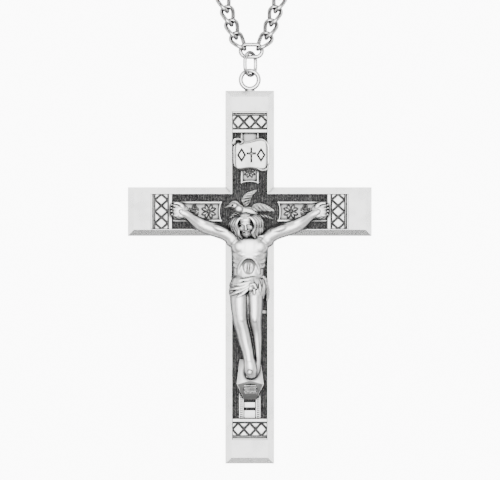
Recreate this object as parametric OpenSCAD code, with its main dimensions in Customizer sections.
// Pendant crucifix on a curb chain, lying on its back.
// X runs to the right, Y towards the head of the cross, Z out of its front.
// The origin is where the middle lines of the two bars cross, on the flat back.

/* [Cross] */
// Width over the two arms
cross_w = 47.6; // [44:0.1:60]
// Height from the foot to the head
cross_h = 72.8; // [72:0.1:90]
// Head of the cross, from its top edge to the middle line of the arms
head_l = 23.6; // [22.8:0.1:30]
// Width of each bar
bar_w = 9.5; // [9:0.1:11.4]
// Thickness
body_t = 3.4; // [2.9:0.1:4.2]
// Width of the bevel round the front, seen from the front
bevel_w = 1.2; // [0.8:0.05:1.3]
// Depth of the bevel round the front
bevel_d = 1.0; // [0.6:0.05:1.2]

/* [Sunken panel] */
// Width of the panel
panel_w = 6.9; // [6.2:0.1:7.2]
// Depth of the panel's floor below the front
panel_d = 1.0; // [0.7:0.05:1.2]
// Open panel above the middle of the arms
panel_up = 15.4; // [15.2:0.1:16]
// Open panel below the middle of the arms
panel_down = 40.4; // [39:0.1:41]
// Open panel to each side of the middle
panel_side = 15.15; // [14.9:0.05:16]

/* [Lozenge bands] */
// Length of a band along its bar
band_l = 4.2; // [3.6:0.1:4.6]
// Side gap round a band in the panel
band_gap = 0.05; // [0.02:0.01:0.1]
// Lozenges in each band
lozenges = 3; // [2:1:5]
// Width of the ridge at the inner end of a band
ridge_w = 0.7; // [0.4:0.05:0.9]

/* [Straps] */
// Width of the strap in the head of the cross
strap_top_w = 3.5; // [2.8:0.1:4.2]
// Width of the straps in the arms
strap_arm_w = 3.9; // [3.2:0.1:4.7]
// Width of the strap in the foot of the cross
strap_foot_w = 4.1; // [3.4:0.1:4.9]
// Length of the strap in the foot of the cross
strap_foot_l = 3.2; // [2.6:0.1:3.5]
// Height of the straps' raised edges above the panel's floor
strap_t = 0.85; // [0.6:0.05:0.9]
// Width of a raised edge
strap_edge = 0.5; // [0.3:0.05:0.6]
// Radius of the round field that the straps stop at
field_r = 5.75; // [5:0.05:6.5]
// End gap between a strap and its band
strap_gap = 0.05; // [0.02:0.01:0.2]

/* [Title scroll] */
// Width of the scroll
scroll_w = 6.6; // [5:0.1:7.6]
// Height of the scroll
scroll_h = 5; // [4:0.1:5.6]
// Thickness of the scroll
scroll_t = 0.6; // [0.4:0.05:0.9]
// Radius of the two curled corners
curl_r = 0.5; // [0.35:0.05:0.6]
// Height of the scroll's middle above the middle of the arms
scroll_y = 11; // [10:0.1:11.8]

/* [Corpus] */
// Span from wrist to wrist
wrist_span = 24.4; // [22:0.1:27]
// Drop from the hands to the shoulders
shoulder_drop = 5.2; // [4:0.1:6]
// Radius of the head
head_r = 2.1; // [1.7:0.05:2.4]
// Thickness of the chest over the front of the cross
chest_t = 3.2; // [2.6:0.1:3.8]
// Place of the soles along the cross, from the middle of the arms
sole_y = -32.6; // [-34:0.1:-31]

/* [Nails] */
// Radius of a nail's shank
nail_r = 0.35; // [0.25:0.05:0.45]
// Radius of a nail's head
nail_head_r = 0.5; // [0.4:0.05:0.8]
// Gap round a nail's shank
nail_gap = 0.05; // [0.02:0.01:0.1]
// Depth of the nails into the cross, below the panel's floor
nail_deep = 1.2; // [0.8:0.1:1.5]

/* [Rings] */
// Height of the eye's and the chain's middle above the back
wire_z = 1.9; // [1.85:0.05:2]
// Radius of the eye to the middle of its wire
eye_r = 1.75; // [1.7:0.05:1.9]
// Thickness of the eye's wire
eye_wire = 0.85; // [0.7:0.05:0.9]
// Length of the jump ring to the middle of its wire
ring_l = 4.5; // [4.3:0.1:5]
// Width of the jump ring to the middle of its wire
ring_w = 3.6; // [3.2:0.1:3.8]
// Thickness of the jump ring's wire
ring_wire = 0.72; // [0.6:0.02:0.76]
// Turn of the jump ring about the line of the cross
ring_turn = 55; // [50:1:60]

/* [Chain] */
// Pitch of the chain
pitch = 2.75; // [2.6:0.05:3]
// Play between two threaded links when the chain is drawn straight
link_play = 0.15; // [0.1:0.01:0.2]
// Width of a link to the middle of its wire
link_w = 2.4; // [2.2:0.05:2.5]
// Thickness of a link's wire
link_wire = 0.8; // [0.6:0.02:0.84]
// Twist of a link from end to end
link_twist = 90; // [80:1:95]
// Roll of each strand about its own line
strand_roll = 40; // [30:1:45]
// Offset of the bottom link to the right of the cross's middle line
chain_x = 0.3; // [0:0.05:0.35]
// Thickness of the plain tube that stands for the unlinked stretch
run_d = 3; // [2.6:0.1:3.2]
// Inner radius of the coiled stretch
coil_in = 11.2; // [8:0.1:14]
// Outer radius of the coiled stretch
coil_out = 20.6; // [18:0.1:24]
// Height of the coiled stretch
coil_h = 5.6; // [5:0.1:7]

/* [Hidden] */
$fn = 48;
eps = 0.01;
silver = [0.80, 0.80, 0.78];
dark_silver = [0.38, 0.38, 0.37];

foot_l = cross_h - head_l;
panel_z = body_t - panel_d;
band_w = panel_w - 2 * band_gap;
// Nails: each hand's nail, and the one through both feet
nail_x = wrist_span / 2 + 1.15;
nail_feet_y = sole_y + 1.4;

// Footrest: the support below the feet, seen from the front and from the side
rest_top = sole_y + 3.8;
rest_wide = sole_y - 1;
rest_low = sole_y - 4.1;
rest_front = body_t + 1.2;

// Rings and the bottom link, from the head of the cross upwards
solder_h = 0.4;
eye_y = head_l + eye_r + eye_wire / 2;
ring_clear = 0.12;
ring_y0 = eye_y + eye_r - (eye_wire + ring_wire) / 2 - ring_clear;
ring_y1 = ring_y0 + ring_l;
ring_pivot_y = eye_y + eye_r - eye_wire / 2 - ring_clear / 2;
link_r = link_w / 2;
bottom_half = link_r + 0.9;
bottom_y = ring_y1 - (link_wire + ring_wire) / 2 - ring_clear + link_r;
bottom_pivot_y = ring_y1 - ring_wire / 2 - ring_clear / 2;

// Strands: the direction of each link, in degrees up from the X axis
rises = [52, 70, 72, 72, 72];
link_over = link_wire + link_play;
link_half = (pitch + link_over) / 2;
grip = link_r - link_over / 2;

// Route of the stretch beyond the last link, to each side, chosen by hand
left_route = [[-6.2, 45.7, 1.9], [-7.2, 48, 1.8], [-9.5, 51, 1.7],
              [-12.5, 54, 1.6], [-15.5, 57.5, 1.6], [-17.3, 61, 1.6]];
right_route = [[6.8, 45.7, 1.9], [8, 48, 2.1], [10.5, 51, 2.6],
               [13.7, 54, 3.3], [16.7, 57.5, 3.9], [18.5, 61, 4.1]];
coil_at = [0.6, 66, 0.1];

function unit(v) = v / norm(v);
function dir2(a) = [cos(a), sin(a), 0];
function turn_x(p, a) = [p.x, p.y * cos(a) - p.z * sin(a), p.y * sin(a) + p.z * cos(a)];
function turn_y(p, a) = [p.x * cos(a) + p.z * sin(a), p.y, p.z * cos(a) - p.x * sin(a)];
function turn_z(p, a) = [p.x * cos(a) - p.y * sin(a), p.x * sin(a) + p.y * cos(a), p.z];

// An oval's middle line: half its length, the radius of its ends, steps round each end
function oval(half, r, steps) = [
    for (k = [0:steps]) let (a = 180 * k / steps - 90) [half - r + r * cos(a), r * sin(a)],
    [0, r],
    for (k = [0:steps]) let (a = 180 * k / steps + 90) [r - half + r * cos(a), r * sin(a)],
    [0, -r]];

// The same oval twisted about its length, each point with the normal of its own plane
function twisted(half, r, twist, steps) = [
    for (q = oval(half, r, steps)) let (a = twist * q.x / (2 * half))
        [turn_x([q.x, q.y, 0], a), turn_x([0, 0, 1], a)]];

// Side of a strand: -1 left, 1 right
function heading(i, side) = side < 0 ? 180 - rises[i] : rises[i];
function link_end(i, side) = link_start(i, side) + pitch * dir2(heading(i, side));
function link_start(i, side) = i == 0
    ? [chain_x, bottom_y, wire_z] + (bottom_half - link_r) * [side, 0, 0]
      + grip * dir2(heading(0, side))
    : link_end(i - 1, side) + (link_half - link_r - pitch / 2) * dir2(heading(i - 1, side))
      + grip * dir2(heading(i, side));

// Two triangles between corners k and m of the rings that start at a and b
function wall(a, b, k, m) = [[a + k, a + m, b + m], [a + k, b + m, b + k]];

// A closed wire along points with plane normals, as one polyhedron
module wire_loop(line, wire, sides = 8) {
    n = len(line);
    rings = [for (i = [0:n - 1])
        let (p = line[i][0],
             t = unit(line[(i + 1) % n][0] - line[(i + n - 1) % n][0]),
             up = unit(line[i][1] - (line[i][1] * t) * t),
             out = cross(t, up))
        for (k = [0:sides - 1]) let (a = 360 * k / sides)
            p + wire / 2 * (cos(a) * out + sin(a) * up)];
    faces = [for (i = [0:n - 1], k = [0:sides - 1])
        each wall(i * sides, ((i + 1) % n) * sides, k, (k + 1) % sides)];
    polyhedron(points = rings, faces = faces, convexity = 6);
}

// An open tube along a route's points, as one polyhedron
module tube(line, d, sides = 8) {
    n = len(line);
    points = [for (i = [0:n - 1])
        let (t = unit(line[min(i + 1, n - 1)] - line[max(i - 1, 0)]),
             up = unit([0, 0, 1] - t.z * t),
             out = cross(t, up))
        for (k = [0:sides - 1]) let (a = 360 * (k + 0.5) / sides)
            line[i] + d / 2 * (cos(a) * out + sin(a) * up)];
    faces = concat(
        [for (i = [0:n - 2], k = [0:sides - 1])
            each wall(i * sides, (i + 1) * sides, k, (k + 1) % sides)],
        [[for (k = [sides - 1:-1:0]) k]],
        [[for (k = [0:sides - 1]) (n - 1) * sides + k]]);
    polyhedron(points = points, faces = faces, convexity = 4);
}

// One bar of the cross: a block with a bevel round its front
module bar(x0, x1, y0, y1) {
    intersection() {
        translate([0, y1, 0]) rotate([90, 0, 0]) linear_extrude(y1 - y0)
            bevelled(x0, x1);
        translate([x0, 0, 0]) rotate([90, 0, 90]) linear_extrude(x1 - x0)
            bevelled(y0, y1);
    }
}

// Section of a bar from a to b, standing on the back
module bevelled(a, b) {
    polygon([[a, 0], [b, 0], [b, body_t - bevel_d], [b - bevel_w, body_t],
             [a + bevel_w, body_t], [a, body_t - bevel_d]]);
}

// A slab from the panel's floor up, wide along X, long along Y from zero
module slab(w, l, t) {
    translate([-w / 2, 0, panel_z]) cube([w, l, t]);
}

// Shank holes for the three nails
module nail_holes() {
    for (x = [-nail_x, nail_x]) nail_hole(x, 0);
    nail_hole(0, nail_feet_y);
}

module nail_hole(x, y) {
    translate([x, y, panel_z - nail_deep]) cylinder(r = nail_r + nail_gap, h = 20);
}

module cross_body() {
    color(silver) difference() {
        union() {
            bar(-bar_w / 2, bar_w / 2, -foot_l, head_l);
            bar(-cross_w / 2, cross_w / 2, -bar_w / 2, bar_w / 2);
        }
        translate([-panel_w / 2, -panel_down - band_l, panel_z])
            cube([panel_w, panel_down + panel_up + 2 * band_l, panel_d + 1]);
        translate([-panel_side - band_l, -panel_w / 2, panel_z])
            cube([2 * (panel_side + band_l), panel_w, panel_d + 1]);
        nail_holes();
    }
}

// A band of lozenges between ridges, its inner end at the origin, running along Y
module band() {
    step = band_w / lozenges;
    field = band_l - band_gap - 2 * ridge_w;
    color(silver) {
        slab(band_w, band_l - band_gap, panel_d - 0.25);
        slab(band_w, ridge_w, panel_d);
        translate([0, band_l - band_gap - ridge_w, 0]) slab(band_w, ridge_w, panel_d);
        for (k = [0:lozenges - 1])
            translate([(k + 0.5) * step - band_w / 2, ridge_w + field / 2, panel_z])
                linear_extrude(panel_d) lozenge(step - 0.2, field - 0.2);
    }
}

module lozenge(w, h) {
    polygon([[-w / 2, 0], [0, -h / 2], [w / 2, 0], [0, h / 2]]);
}

module band_top() { translate([0, panel_up, 0]) band(); }
module band_bottom() { translate([0, -panel_down, 0]) rotate(180) band(); }
module band_left() { translate([-panel_side, 0, 0]) rotate(90) band(); }
module band_right() { translate([panel_side, 0, 0]) rotate(-90) band(); }

// A strap from y = 0 to l, with raised edges and a row of four-petalled flowers
module strap(w, l, flowers) {
    low = strap_t - 0.3;
    slab(w, l, low);
    for (s = [-1, 1])
        translate([s * (w - strap_edge) / 2, 0, 0]) slab(strap_edge, l, strap_t);
    for (y = flowers, a = [45:90:315])
        translate([0.55 * cos(a), y + 0.55 * sin(a), panel_z])
            cylinder(r = 0.36, h = strap_t);
}

module field_cut() {
    translate([0, 0, panel_z - 1]) cylinder(r = field_r, h = 4);
}

module strap_top() {
    color(silver) difference() {
        translate([0, 4.2, 0]) strap(strap_top_w, panel_up - strap_gap - 4.2, [2.8]);
        field_cut();
    }
}

module side_strap(side) {
    color(silver) difference() {
        rotate(side < 0 ? 90 : -90) translate([0, 4.5, 0])
            strap(strap_arm_w, panel_side - strap_gap - 4.5, [2.9, 7.4]);
        field_cut();
        nail_holes();
    }
}

module strap_left() { side_strap(-1); }
module strap_right() { side_strap(1); }

module strap_bottom() {
    color(silver) translate([0, -panel_down + strap_gap, 0]) {
        slab(strap_foot_w, strap_foot_l, strap_t - 0.3);
        for (s = [-1, 1])
            translate([s * (strap_foot_w - strap_edge) / 2, 0, 0])
                slab(strap_edge, strap_foot_l, strap_t);
        slab(strap_foot_w - 2 * strap_edge - 0.6, 1.5, strap_t);
    }
}

// A pointed leaf from the origin along X
module leaf(l, w) {
    r = (l * l / 4 + w * w / 4) / w;
    linear_extrude(panel_d - 0.1) intersection() {
        translate([l / 2, r - w / 2]) circle(r, $fn = 60);
        translate([l / 2, w / 2 - r]) circle(r, $fn = 60);
    }
}

// A dove with spread wings behind the figure's head
module dove_ornament() {
    color(silver) translate([0, 0, panel_z]) {
        cylinder(r = 2.6, h = panel_d - 0.1);
        for (f = [[160, 5.4, 1.9], [70, 5.2, 2.3], [25, 5.4, 2.0], [-12, 4.9, 1.6]])
            rotate(f[0]) leaf(f[1], f[2]);
    }
}

// The scroll stands on the strap, with its corners curled at top left and bottom right. It is
// stepped where it passes over the panel's rim.
module title_scroll() {
    z = panel_z + strap_t;
    color(silver) difference() {
        translate([0.3, scroll_y, z]) {
            translate([-scroll_w / 2, -scroll_h / 2, 0]) cube([scroll_w, scroll_h, scroll_t]);
            for (s = [-1, 1])
                translate([s * (scroll_w / 2 - 1.5), -s * (scroll_h / 2 - 0.1), curl_r])
                    rotate([0, 90, 0]) cylinder(r = curl_r, h = 2.6, center = true);
        }
        for (s = [-1, 1]) scale([s, 1, 1])
            translate([panel_w / 2 - 0.02, 0, 0]) cube([bar_w, 2 * scroll_y, body_t + 0.02]);
    }
}

// A limb between two points, as the hull of two balls
module limb(a, b, ra, rb) {
    hull() {
        translate(a) sphere(ra, $fn = 16);
        translate(b) sphere(rb, $fn = 16);
    }
}

module figure() {
    z = body_t;
    shoulder = [3.3, -shoulder_drop, z + 1.4];
    wrist = [wrist_span / 2, -0.8, z + 0.7];
    elbow = [(wrist_span / 2 + 3.3) / 2 + 0.2, -shoulder_drop + 1.9, z + 1.1];
    for (s = [-1, 1]) {
        mirrored(s) limb(shoulder, elbow, 1.25, 0.85);
        mirrored(s) limb(elbow, wrist, 0.85, 0.6);
        mirrored(s) hull() {
            translate(wrist) sphere(0.6, $fn = 16);
            translate([nail_x + 0.2, 0.1, z + 0.35]) scale([1, 1, 0.5]) sphere(1.05, $fn = 16);
            translate([nail_x + 1.2, 0.3, z + 0.35]) sphere(0.35, $fn = 12);
        }
    }
    hull() {
        for (s = [-1, 1]) {
            translate([s * 2.3, -shoulder_drop - 1, z + chest_t / 2 - 0.1])
                sphere(chest_t / 2, $fn = 20);
            translate([s * 1.7 - 0.2, -11.3, z + chest_t / 2 - 0.3])
                sphere(chest_t / 2 - 0.2, $fn = 20);
        }
    }
    hull() {
        for (s = [-1, 1]) {
            translate([s * 1.7 - 0.2, -12.4, z + 1.3]) sphere(1.5, $fn = 20);
            translate([s * 1.9 - 0.2, -16.2, z + 1.3]) sphere(1.9, $fn = 20);
        }
    }
    limb([-0.1, -5.3, z + 2], [-0.5, -3.1, z + 2.4], 1.1, 1.3);
    translate([-0.5, -2.7, z + 2.4]) sphere(head_r, $fn = 24);
    hull() for (x = [-2.2, 1.5]) translate([x, -4.4, z + 1.3]) sphere(1.1, $fn = 14);
    limb([-2, -16.3, z + 1.6], [-1.3, -21.8, z + 2.1], 1.5, 1.15);
    limb([1.2, -16.3, z + 1.5], [1.1, -21.8, z + 1.7], 1.5, 1.15);
    limb([-1.3, -21.8, z + 2.1], [-0.7, -28.4, z + 1.3], 1.15, 0.75);
    limb([1.1, -21.8, z + 1.7], [0.9, -28.4, z + 1.2], 1.15, 0.75);
    limb([-0.7, -28.4, z + 1.3], [-0.3, sole_y + 0.6, z + 1.8], 0.75, 0.8);
    limb([0.9, -28.4, z + 1.2], [0.7, sole_y + 0.6, z + 1.6], 0.75, 0.8);
}

module mirrored(s) {
    if (s < 0) mirror([1, 0, 0]) children();
    else children();
}

module corpus() {
    color(silver) difference() {
        figure();
        translate([-50, -50, body_t - 20]) cube([100, 100, 20]);
        rest_block(0.02);
        nail_holes();
    }
}

// The footrest's solid, grown by a gap where the figure stands on it
module rest_block(gap) {
    intersection() {
        translate([0, 0, panel_z - gap]) linear_extrude(20) polygon([
            [-2.2 - gap, rest_top + gap], [2.2 + gap, rest_top + gap],
            [2.6 + gap, rest_wide], [1.2 + gap, rest_low - gap],
            [-1.2 - gap, rest_low - gap], [-2.6 - gap, rest_wide]]);
        translate([-10, 0, 0]) rotate([90, 0, 90]) linear_extrude(20) polygon([
            [rest_top + gap, panel_z - gap], [rest_top + gap, body_t + gap],
            [rest_wide, rest_front + gap], [rest_wide - 1.3, rest_front + gap],
            [rest_low - gap, body_t - 0.2 + gap], [rest_low - gap, panel_z - gap]]);
    }
}

module footrest() {
    color(silver) difference() {
        rest_block(0);
        nail_holes();
    }
}

// A nail with a domed head whose underside is at z = top
module nail(x, y, top) {
    color(silver) translate([x, y, 0]) {
        translate([0, 0, panel_z - nail_deep + 0.1])
            cylinder(r = nail_r, h = top - panel_z + nail_deep);
        translate([0, 0, top]) cylinder(r = nail_head_r, h = 0.25);
    }
}

module nail_left_hand() { nail(-nail_x, 0, body_t + 0.95); }
module nail_right_hand() { nail(nail_x, 0, body_t + 0.95); }
module nail_feet() { nail(0, nail_feet_y, body_t + 2.75); }

// The eye stands on a bead of solder on the head's top edge
module eye_ring() {
    color(silver) {
        translate([0, eye_y, wire_z]) rotate_extrude($fn = 64)
            translate([eye_r, 0]) circle(eye_wire / 2, $fn = 32);
        translate([-0.8, head_l, wire_z - 0.4]) cube([1.6, solder_h, 0.8]);
    }
}

module jump_ring() {
    half = ring_l / 2;
    line = [for (q = oval(half, ring_w / 2, 8))
        [turn_y([-q.y, q.x, 0], ring_turn) + [0.1, ring_y0 + half, wire_z],
         turn_y([0, 0, 1], ring_turn)]];
    color(silver) wire_loop(line, ring_wire);
}

module link_bottom() {
    line = [for (q = twisted(bottom_half, link_r, 0, 8))
        [q[0] + [chain_x, bottom_y, wire_z], q[1]]];
    color(silver) wire_loop(line, link_wire);
}

// Link i of a strand, counted from the bottom link
module strand_link(i, side) {
    h = heading(i, side);
    middle = link_start(i, side) + pitch / 2 * dir2(h);
    line = [for (q = twisted(link_half, link_r, side * link_twist, 8))
        [turn_z(turn_x(q[0], -side * strand_roll), h) + middle,
         turn_z(turn_x(q[1], -side * strand_roll), h)]];
    color(silver) wire_loop(line, link_wire);
}

module link_left_1() { strand_link(0, -1); }
module link_left_2() { strand_link(1, -1); }
module link_left_3() { strand_link(2, -1); }
module link_left_4() { strand_link(3, -1); }
module link_left_5() { strand_link(4, -1); }
module link_right_1() { strand_link(0, 1); }
module link_right_2() { strand_link(1, 1); }
module link_right_3() { strand_link(2, 1); }
module link_right_4() { strand_link(3, 1); }
module link_right_5() { strand_link(4, 1); }

module chain_left_run() { color(dark_silver) tube(left_route, run_d); }
module chain_right_run() { color(dark_silver) tube(right_route, run_d); }

module chain_coil() {
    color(dark_silver) translate(coil_at) rotate_extrude($fn = 96)
        translate([coil_in, 0]) square([coil_out - coil_in, coil_h]);
}

cross_body();
band_top();
band_bottom();
band_left();
band_right();
strap_top();
strap_left();
strap_right();
strap_bottom();
dove_ornament();
title_scroll();
corpus();
footrest();
nail_left_hand();
nail_right_hand();
nail_feet();
eye_ring();
jump_ring();
link_bottom();
link_left_1();
link_left_2();
link_left_3();
link_left_4();
link_left_5();
link_right_1();
link_right_2();
link_right_3();
link_right_4();
link_right_5();
chain_left_run();
chain_right_run();
chain_coil();
